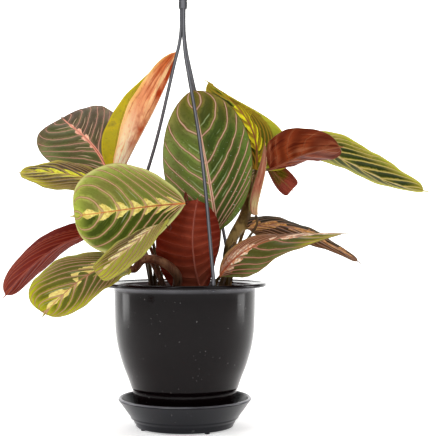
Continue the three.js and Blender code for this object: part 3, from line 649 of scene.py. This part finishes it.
def through(points, steps):
    """Points on the smooth curve that passes through the given points, `steps` to each span."""
    pts = [np.array(p, float) for p in points]
    pts = [2 * pts[0] - pts[1]] + pts + [2 * pts[-1] - pts[-2]]
    curve = []
    for i in range(1, len(pts) - 2):
        p0, p1, p2, p3 = pts[i - 1:i + 3]
        t1 = np.linalg.norm(p1 - p0) ** 0.5
        t2 = t1 + max(np.linalg.norm(p2 - p1), 1e-6) ** 0.5
        t3 = t2 + np.linalg.norm(p3 - p2) ** 0.5
        for k in range(steps):
            t = t1 + (t2 - t1) * k / steps
            middle = between(p1, p2, t1, t2, t)
            before = between(between(p0, p1, 0, t1, t), middle, 0, t2, t)
            after = between(middle, between(p2, p3, t2, t3, t), t1, t3, t)
            curve.append(between(before, after, t1, t2, t))
    curve.append(pts[-2])
    return curve


def turned(name, profile, segments=96, bevel=0.35):
    """A closed shell turned about the pot's axis, drawn out ring by ring along [radius, height] pairs."""
    deselect()
    radius, height = profile[0]
    bpy.ops.mesh.primitive_circle_add(vertices=segments, radius=radius * MM, location=at(0, 0, height))
    piece = bpy.context.object
    piece.name = name
    switch("EDIT")
    bpy.ops.mesh.select_all(action="SELECT")
    for next_radius, next_height in profile[1:]:
        rise = (0, 0, (next_height - height) * MM)
        bpy.ops.mesh.extrude_region_move(TRANSFORM_OT_translate={"value": rise})
        wider = next_radius / radius
        bpy.ops.transform.resize(value=(wider, wider, 1), center_override=at(0, 0, next_height))
        radius, height = next_radius, next_height
    bpy.ops.mesh.select_all(action="SELECT")
    bpy.ops.mesh.fill_holes(sides=0)
    bpy.ops.mesh.select_all(action="SELECT")
    bpy.ops.mesh.remove_doubles(threshold=0.01 * MM)
    bpy.ops.mesh.normals_make_consistent(inside=False)
    switch("OBJECT")
    if bevel:
        soften(piece, bevel)
    settle(piece)
    return piece


def rod(name, points, radii, sides=12):
    """A round rod along the points, its radius given at even stations from first to last."""
    deselect()
    bpy.ops.curve.primitive_bezier_curve_add()
    piece = bpy.context.object
    piece.name = name
    data = piece.data
    data.splines.clear()
    data.dimensions = "3D"
    data.bevel_depth = MM
    data.bevel_resolution = sides // 4
    data.use_fill_caps = True
    data.twist_mode = "MINIMUM"
    spline = data.splines.new("POLY")
    spline.points.add(len(points) - 1)
    widths = np.interp(run_of(points), np.linspace(0, 1, len(radii)), radii)
    for knot, place, width in zip(spline.points, points, widths):
        knot.co = (*at(*place), 1)
        knot.radius = width
    pick(piece)
    bpy.ops.object.convert(target="MESH")
    settle(bpy.context.object, 50)
    return bpy.context.object


# Camera
place = at(*CAMERA_PLACE)
bpy.ops.object.camera_add(location=place, rotation=(math.radians(90 + CAMERA_PITCH), 0, 0))
camera = bpy.context.object
camera.name = "camera"
camera.data.sensor_fit = "VERTICAL"
camera.data.sensor_height = SENSOR
camera.data.lens = FOCAL_PIXELS / FRAME_PIXELS * SENSOR
camera.data.clip_start = 0.05
bpy.context.scene.camera = camera
bpy.context.scene.view_settings.view_transform = "Standard"


def paper_sweep():
    """Floor and backdrop: one pale sheet that curves up behind the plant."""
    deselect()
    bpy.ops.mesh.primitive_plane_add(size=6, location=(0, 0, saucer_low.z))
    sheet = bpy.context.object
    sheet.name = "paper_sweep"
    switch("EDIT")
    bpy.ops.mesh.select_mode(type="EDGE")
    bpy.ops.mesh.select_all(action="DESELECT")
    switch("OBJECT")
    for edge in sheet.data.edges:
        edge.select = min(sheet.data.vertices[v].co.y for v in edge.vertices) > 2.9
    switch("EDIT")
    bpy.ops.mesh.extrude_region_move(TRANSFORM_OT_translate={"value": (0, 0, 4)})
    switch("OBJECT")
    curve = sheet.modifiers.new("sweep", "BEVEL")
    curve.width = 1.2
    curve.segments = 16
    bpy.ops.object.modifier_apply(modifier=curve.name)
    settle(sheet)
    paper = Finish("pale_paper", 0.9, 0.1)
    paper.body = paper.mix(paper.speckle(3), 0xF4F4F2, 0xF8F8F7)
    paper.shader["Emission Color"].default_value = (1, 1, 1, 1)
    paper.shader["Emission Strength"].default_value = PAPER_GLOW
    sheet.data.materials.append(paper.close())


def soft_box(name, place, size, power, target=(0, 0, -0.25)):
    """A square soft light at a place, aimed at a target, both in metres."""
    aim = (Vector(target) - Vector(place)).to_track_quat("-Z", "Y").to_euler()
    bpy.ops.object.light_add(type="AREA", location=place, rotation=aim)
    light = bpy.context.object
    light.name = name
    light.data.shape = "RECTANGLE"
    light.data.size, light.data.size_y = size
    light.data.energy = power


paper_sweep()
soft_box("key_box", (-0.7, -1.3, 0.75), (1, 1), 11)
soft_box("fill_box", (1.1, -1, 0.35), (0.8, 0.8), 3.5)
soft_box("top_box", (0, 0.1, 1.3), (1.4, 1.4), 10)
soft_box("left_strip", (-0.9, 0.25, -0.2), (0.3, 1.2), 5)
soft_box("right_strip", (0.95, 0.2, -0.2), (0.3, 1.2), 5)
soft_box("paper_light", (0, 1.2, 1.4), (2.5, 0.8), 60, (0, 2.8, 0))
world = bpy.data.worlds.new("studio")
bpy.context.scene.world = world
world.use_nodes = True
world.node_tree.nodes["Background"].inputs["Color"].default_value = (1, 1, 1, 1)
world.node_tree.nodes["Background"].inputs["Strength"].default_value = 0.2


# Pot, saucer and soil
def heights(level, *offsets):
    """Heights in the frame, as millimetres from a level: a band of painted highlight starts, is full, fades
    and ends.
    """
    return [BASE_Z + (level + offset) * MM for offset in offsets]


# Painted highlights: the pot's pale band just under its flange and the saucer's pale band along its lip.
pot_gloss = moulded_plastic(
    "pot_gloss", 0x0C0607, 0x150C0D, 0.11, 0.17, 0.35, heights(FLANGE_UNDERSIDE, -4.5, -1.5, 0.2, 1), 0.5)
saucer_satin = moulded_plastic(
    "saucer_satin", 0x0A0A12, 0x121322, 0.24, 0.25, 0.2, heights(SAUCER_HEIGHT, -1.7, -0.9, 1, 2), 0.75)
# The hanger's pale middle and dark sides are painted highlight and painted shade.
hanger_grey = plastic_painted_lit_front("hanger_grey", 0x2A2A2E, 0x76767C, 0.4, 0.3)

BELLY = [
    (49.1, 34.9), (51.1, 40.9), (53.6, 47.4), (56.5, 54.7), (59.4, 64), (61.8, 73.2), (63.9, 87),
    (64.8, 105.5), (65.2, 121.8)]


def hanging_pot():
    """One moulding: foot step, belly, flange with a rolled lip, and the inner wall."""
    floor = POT_BOTTOM + 2.4
    belly = [(r, h) for r, h, _ in through([(r, h, 0) for r, h in BELLY], 4)]
    foot = [(20, POT_BOTTOM), (44.6, POT_BOTTOM), (46, 5.6), (47.8, 31.7), (48.2, 34.4)]
    low, top = FLANGE_UNDERSIDE, RIM_TOP
    fillet = [(65.5, low - 1.4), (66.3, low - 0.2)]
    rim = [
        (RIM_RADIUS - 1.4, low), (RIM_RADIUS - 0.4, low + 0.4), (RIM_RADIUS, low + 1.3),
        (RIM_RADIUS, top - 1.5), (RIM_RADIUS - 0.5, top - 0.5), (RIM_RADIUS - 1.6, top),
        (RIM_RADIUS - 2.8, top - 0.3), (RIM_RADIUS - 3.8, top - 1.2), (67, top - 2), (65, top - 2.3),
        (63.9, top - 2.8), (63.3, top - 4)]
    inside = [(r - WALL, h) for r, h in reversed(belly)]
    inner_foot = [(46.2, 34.4), (44, 8), (42.5, floor), (20, floor)]
    pot = turned("hanging_pot", foot + belly + fillet + rim + inside + inner_foot, 128)
    pot.data.materials.append(pot_gloss)
    dress(pot, "pot_plastic", "pot")


def clip_on_saucer():
    """A flared dish with a base ring, a ring that grips the pot's foot, and four feet."""
    floor = POT_BOTTOM - 0.3
    lip = [(0.8, 2.8), (0, 2.0), (0.1, 1.4), (0.4, 0.8), (0.9, 0.3), (1.6, 0), (2.4, 0.2), (3, 1.2)]
    profile = [(20, 1.5), (42, 1.5), (42, 0), (44.8, 0), (45.2, floor), (51.4, 10.9)]
    profile += [(SAUCER_RADIUS - inward, SAUCER_HEIGHT - down) for inward, down in lip]
    profile += [
        (56, 20.2), (50.4, 12), (49.6, floor + 4), (48.8, floor + 6), (47.2, floor + 6), (46.6, floor),
        (20, floor)]
    pieces = [turned("dish", profile, 128, 0.25)]
    for foot in range(4):
        angle = math.radians(-60.5 + 90 * foot)
        spot = at(SAUCER_FOOT_RING * math.cos(angle), SAUCER_FOOT_RING * math.sin(angle), 0.2)
        bpy.ops.mesh.primitive_cylinder_add(vertices=24, radius=2.4 * MM, depth=3.2 * MM, location=spot)
        nub = bpy.context.object
        soften(nub, 0.5)
        settle(nub)
        pieces.append(nub)
    saucer = join(pieces, "clip_on_saucer")
    saucer.data.materials.append(saucer_satin)
    dress(saucer, "saucer_plastic", "saucer")


def potting_soil():
    """A plug of soil with an uneven top, and crumbs lying on it."""
    side = [
        (42.8, 6.6), (44.6, 34), (46.4, 36), (50.8, 47.4), (56.6, 64), (61, 87), (62, 105),
        (62.1, SOIL_TOP)]
    rings = [(r, SOIL_TOP) for r in range(60, 1, -2)]
    soil = turned("potting_soil", side + rings, 96, 0)
    for vertex in soil.data.vertices:
        height = (vertex.co.z - BASE_Z) / MM
        if height > SOIL_TOP - 0.1:
            lump = noise.fractal(vertex.co * 90, 0.6, 2.0, 5)
            vertex.co.z += (1.1 * lump - 0.6) * MM
    deselect()
    bpy.ops.mesh.primitive_ico_sphere_add(subdivisions=1, radius=1.2 * MM, location=at(0, 50, SOIL_TOP))
    crumbs = bpy.context.object
    switch("EDIT")
    for _ in range(CRUMBS):
        reach = 59 * math.sqrt(random.random())
        turn = random.uniform(0, 2 * math.pi)
        spot = at(reach * math.cos(turn), reach * math.sin(turn), SOIL_TOP + random.uniform(-0.5, 0.5))
        tilt = [random.uniform(0, 3) for _ in range(3)]
        size = random.uniform(0.7, 2.3) * MM
        shape = (random.uniform(0.7, 1.7), random.uniform(0.5, 1), random.uniform(0.4, 0.8))
        bpy.ops.mesh.primitive_ico_sphere_add(
            subdivisions=1, radius=size, location=spot, rotation=tilt, scale=shape)
    switch("OBJECT")
    settle(crumbs, 60)
    crumbs.name = "soil_crumbs"
    damp_peat = peat("damp_peat")
    soil.data.materials.append(damp_peat)
    crumbs.data.materials.append(damp_peat)
    dress(soil, "soil", "soil")
    dress(crumbs, "soil")


# Hanger
def strand_points(x, y, bow):
    """Straight down from the hub, a soft bend, then a line that bows a little on its way to the flange."""
    foot = np.array([x, y, RIM_TOP + 8])
    share = STRAND_BUNDLE / STRAND_RING
    bundle = np.array([HUB_X + share * x, share * y, 0])
    bend = bundle + (0, 0, STRAND_SPREAD_HEIGHT)
    after = bend + 0.08 * (foot - bend)
    middle = bend + 0.5 * (foot - bend) + (*bow, 0)
    top = bend + (0, 0, 16)
    points = [bundle + (0, 0, HUB_BOTTOM + 4.4), bend + (0, 0, 17)]
    for t in np.linspace(0, 1, 9):
        points.append((1 - t) ** 2 * top + 2 * t * (1 - t) * bend + t * t * after)
    points += through([after, middle, foot], 12)[1:]
    points.append(foot - (0, 0, 11.6))
    return [tuple(p) for p in points]


def strands():
    """Each strand with the collar on the flange and the knob under it."""
    for index, (angle, bow) in enumerate(zip(STRAND_ANGLES, STRAND_BOWS), 1):
        turn = math.radians(angle)
        x = STRAND_RING * math.sin(turn)
        y = -STRAND_RING * math.cos(turn)
        cord = rod("cord", strand_points(x, y, bow), [STRAND_RADIUS, STRAND_RADIUS], 16)
        collar_heights = [RIM_TOP + z for z in (0.4, 2.0, 2.2, 6.8, 8)]
        collar = rod("collar", [(x, y, z) for z in collar_heights], [1.9, 1.9, 1.75, 1.7, 1.6, 1.35], 16)
        knob_heights = [FLANGE_UNDERSIDE - z for z in (0.2, 0.5, 1.0, 1.4)]
        knob = rod("knob", [(x, y, z) for z in knob_heights], [1.4, 1.7, 1.7, 1.2], 20)
        strand = join([cord, collar, knob], f"hanger_strand_piece_{index}")
        mark_front_facing(strand)
        strand.data.materials.append(hanger_grey)
        dress(strand, "hanger_plastic", f"hanger_strand_{index}")


def hub_and_hook():
    """The hub that the strands run into, and the open hook above it."""
    route = through([(HUB_X, 0, HUB_TOP - 2), (HUB_X, 0, HUB_TOP + 3)], 4)
    for degree in range(-90, 151, 8):
        turn = math.radians(degree)
        out, rise = HOOK_RADIUS * math.cos(turn), HOOK_RADIUS * math.sin(turn)
        route.append((HUB_X + out, 0, HOOK_CENTRE_HEIGHT + rise))
    wire = rod("wire", route, [HOOK_WIRE] * 19 + [HOOK_WIRE * 0.92], 20)
    profile = [
        (2.2, HUB_BOTTOM + 5), (3.1, HUB_BOTTOM + 5), (3.2, HUB_BOTTOM), (3.7, HUB_BOTTOM),
        (HUB_RADIUS, HUB_BOTTOM + 2), (HUB_RADIUS, HUB_BOTTOM + 6), (HUB_RADIUS - 0.35, HUB_BOTTOM + 6.5),
        (HUB_RADIUS - 0.35, HUB_BOTTOM + 7.5), (HUB_RADIUS, HUB_BOTTOM + 8), (HUB_RADIUS, HUB_TOP - 2.4),
        (HUB_RADIUS - 0.6, HUB_TOP - 0.8), (2.6, HUB_TOP)]
    hub = turned("hub", profile, 40, 0.15)
    for vertex in hub.data.vertices:
        vertex.co.x += HUB_X * MM
    hook = join([wire, hub], "hub_with_hook")
    mark_front_facing(hook)
    hook.data.materials.append(hanger_grey)
    dress(hook, "hanger_plastic", "hanger_hook")


# Blades
def cubic(points, t):
    p = np.array(points, float)
    t = t[:, None]
    return (1 - t) ** 3 * p[0] + 3 * t * (1 - t) ** 2 * p[1] + 3 * t * t * (1 - t) * p[2] + t ** 3 * p[3]


def heading_and_up(leaf, t):
    """At t along the midrib, its heading and the way the blade's upper side faces."""
    p = np.array(leaf.midrib, float)
    foot_face, tip_face = np.array(leaf.face)
    t = t[:, None]
    way = (1 - t) ** 2 * (p[1] - p[0]) + 2 * t * (1 - t) * (p[2] - p[1]) + t * t * (p[3] - p[2])
    way = way / np.linalg.norm(way, axis=1, keepdims=True)
    blend = t * t * (3 - 2 * t)
    face = foot_face * (1 - blend) + tip_face * blend
    up = face - (face * way).sum(1, keepdims=True) * way
    return way, up / np.linalg.norm(up, axis=1, keepdims=True)


def outline_share(t, foot, tip):
    """Share of the half width at t along the midrib, with a small drawn-out tip."""
    way = np.clip(t / 0.97, 0, 1)
    widest = foot / (foot + tip)
    body = (way / widest) ** foot * ((1 - way) / (1 - widest)) ** tip
    nib = np.where(t > 0.94, 1 - t, 0)
    return np.maximum(np.maximum(body, nib), 0.03 * (1 - t) + 0.01)


def ease_in(value, rate):
    """0 at 0, rising at the rate to 1."""
    return np.clip(value * rate, 0, 1)


def blade_surface(leaf, t, s):
    """Places of the blade at t along and s across it, and what its colours read."""
    way, up = heading_and_up(leaf, t)
    side = np.cross(way, up)
    out_from_rib = np.abs(s)
    right = (s > 0).astype(int)
    width, fold, curl = (np.array(pair, float)[right] for pair in (leaf.half, leaf.fold, leaf.curl))
    share = outline_share(t, *leaf.outline)
    if leaf.outline_right:
        share = np.where(right == 1, outline_share(t, *leaf.outline_right), share)
    reach = out_from_rib * width * share
    fold = np.radians(fold)
    curl = np.radians(np.where(curl == 0, 0.06, curl))
    angle = fold + curl * reach / width
    out = width / curl * (np.sin(angle) - np.sin(fold)) * np.where(s < 0, -1.0, 1.0)
    height, count, start = leaf.wave
    ripple = height * s * s * np.sin(2 * math.pi * (count * t + start + 0.37 * right))
    ripple += 0.25 * height * s ** 4 * np.sin(2 * math.pi * (2.7 * count * t + 1.3 * start + 0.5 * right))
    lift = width / curl * (np.cos(fold) - np.cos(angle)) + ripple * np.minimum(1, 1.5 * share)
    # Side veins sweep forwards as they leave the midrib, and the blade is quilted between them
    straight, rising = np.broadcast_to(leaf.sweep, (2, 2))[right].T
    sweep = straight * out_from_rib + rising * s * s
    root = (t - sweep) / (1 - 0.5 * sweep)
    vein = leaf.veins * root * (1 + leaf.spread * (1 - root))
    quilt = QUILT * np.cos(2 * math.pi * vein) * ease_in(out_from_rib, 6) * ease_in(1 - out_from_rib, 5)
    quilt *= ease_in(1 - t, 8) * ease_in(t, 8)
    crease = -0.5 * np.exp(-(reach / 1.6) ** 2) * ease_in(t, 8) * ease_in(1 - t, 4)
    lift = lift + quilt + crease
    places = cubic(leaf.midrib, t) + side * out[:, None] + up * lift[:, None]
    return places, vein, reach, width * share - reach


def blade(name, leaf):
    """A blade shaped from a flat grid and given its thickness."""
    deselect()
    bpy.ops.mesh.primitive_grid_add(x_subdivisions=BLADE_COLUMNS, y_subdivisions=BLADE_ROWS, size=2)
    piece = bpy.context.object
    piece.name = name
    mesh = piece.data
    flat = np.clip(vertex_places(mesh), -1, 1)
    s = flat[:, 0]
    u = (flat[:, 1] + 1) / 2
    t = 0.35 * u + 0.65 * (1 - np.cos(math.pi * u)) / 2
    places, vein, reach, margin = blade_surface(leaf, t, s)
    step = 1e-3
    ahead, vein_ahead = blade_surface(leaf, np.minimum(t + step, 1), s)[:2]
    aside, vein_aside = blade_surface(leaf, t, s * (1 - step) + step * 0.02)[:2]
    run_t = np.maximum(np.linalg.norm(ahead - places, axis=1), 1e-6)
    run_s = np.maximum(np.linalg.norm(aside - places, axis=1), 1e-6)
    rate = np.hypot((vein_ahead - vein) / run_t, (vein_aside - vein) / run_s)
    mesh.vertices.foreach_set("co", np.array([at(*p) for p in places]).ravel())
    rate = np.clip(rate, 0.01, 2)
    marks = dict(along=t, across=s, vein=vein, vein_rate=rate, inward=reach, margin=margin)
    for key, values in marks.items():
        mark(mesh, key, values)
    mesh.update()
    mesh.materials.append(blade_top(name + "_top", leaf))
    mesh.materials.append(blade_under(name + "_under", leaf))
    skin = piece.modifiers.new("thickness", "SOLIDIFY")
    skin.thickness = BLADE_THICKNESS * MM
    skin.offset = 0
    skin.use_even_offset = False
    skin.material_offset = 1
    bpy.ops.object.modifier_apply(modifier=skin.name)
    settle(piece, 60)
    return piece


def midrib(name, leaf):
    """The rib under the blade, from the petiole's end almost to the tip."""
    t = np.linspace(0.0, 0.9, 40)
    up = heading_and_up(leaf, t)[1]
    radius = np.interp(t, [0, 0.15, 0.9], [1.2, 0.9, 0.25])
    line = cubic(leaf.midrib, t) - up * (0.55 * radius + 0.35)[:, None]
    rib = rod(name, [tuple(p) for p in line], list(radius), 8)
    rib.data.materials.append(rib_skin(name, leaf))
    return rib


def petiole_points(leaf):
    """The petiole's way from its shoot's crown through its places to the blade's foot."""
    x, y = SHOOTS[leaf.shoot]
    foot = np.array(leaf.midrib[0], float)
    heading = np.array(leaf.midrib[1], float) - foot
    heading /= np.linalg.norm(heading)
    goal = leaf.petiole[0] if leaf.petiole else foot
    toward = np.array([goal[0] - x, goal[1] - y, 0.0])
    toward /= np.linalg.norm(toward)
    start = np.array([x, y, SOIL_TOP + 2.5]) + toward * CROWN_RADIUS * 0.45
    lead = foot - heading * leaf.lead
    return [tuple(p) for p in through([start, *leaf.petiole, lead, foot - heading * 0.1], 8)]


# Radii of the petioles, the right shoots' sheaths and the colours of the stalks: foot, top and streaks
LONG_STALK = [2.2, 2.1, 1.9, 1.7, 1.5, 1.4, 1.3, 1.2, 1.15, 1.2]
SHORT_STALK = [2.3, 2.0, 1.7, 1.5, 1.3]
SHEATHS = {
    "right": (
        [(36, 5, 112), (35, 1, 138), (39, -1, 163), (47, 0, 177), (54, 2, 190), (59, 4, 212), (61, 6, 238)],
        [1.8, 1.7, 1.6, 1.8, 3.2, 5.4, 5.6, 4.6, 3.2, 2.2, 1.3]),
    "right_front": ([(28, -31, 112), (36, -26, 140), (46, -20, 168)], [2.2, 2.0, 1.6]),
}
# The right shoot's top tone is dark: painted shade, where it stands in the shadow beside the leaves.
STALK_TONES = {
    "left_front": (0x24120A, 0x92684A, 0x5E3422), "right": (0x43300C, 0x54401A, 0x8A7040),
    "right_front": (0x2A1C10, 0x5A4424, 0x43301A), "centre": (0x2E1A10, 0x66281A, 0x4E2014),
}
PLAIN_STALK = (0x2A1A0E, 0x6A5A2E, 0x4A341C)


def shoot(name):
    """A crown at the soil with the sheathed petioles of its leaves."""
    x, y = SHOOTS[name]
    skin = stalk_skin(f"stalk_{name}", *STALK_TONES.get(name, PLAIN_STALK))
    pieces = []
    for key, leaf in LEAVES.items():
        if leaf.shoot == name:
            points = petiole_points(leaf)
            radii = leaf.stalk or (LONG_STALK if leaf.petiole else SHORT_STALK)
            pieces.append(rod(f"stalk_{key}", points, radii, 12))
            mark_way(pieces[-1], points)
    if name in SHEATHS:
        places, radii = SHEATHS[name]
        points = through(places, 8)
        pieces.append(rod("sheath", points, radii, 16))
        mark_way(pieces[-1], points)
    crown = rod("crown", [(x, y, SOIL_TOP + z) for z in (-12, 1, 7)], [CROWN_RADIUS, CROWN_RADIUS, 2.5], 20)
    mark_way(crown, [(x, y, SOIL_TOP), (x, y, SOIL_TOP + 90)])
    clump = join([*pieces, crown], f"shoot_{name}_piece")
    clump.data.materials.clear()
    clump.data.materials.append(skin)
    dress(clump, "stem", f"shoot_{name}")


def foliage():
    """Every leaf's blade and midrib, joined into one piece for its node."""
    slots = {entry["node"]: entry["material_slot"] for entry in frame["record"]["subparts"]}
    for name, leaf in LEAVES.items():
        parts = [blade(name + "_blade", leaf), midrib(name + "_rib", leaf)]
        dress(join(parts, name + "_piece"), slots[name], name)


hanging_pot()
clip_on_saucer()
potting_soil()
strands()
hub_and_hook()
for shoot_name in SHOOTS:
    shoot(shoot_name)
foliage()
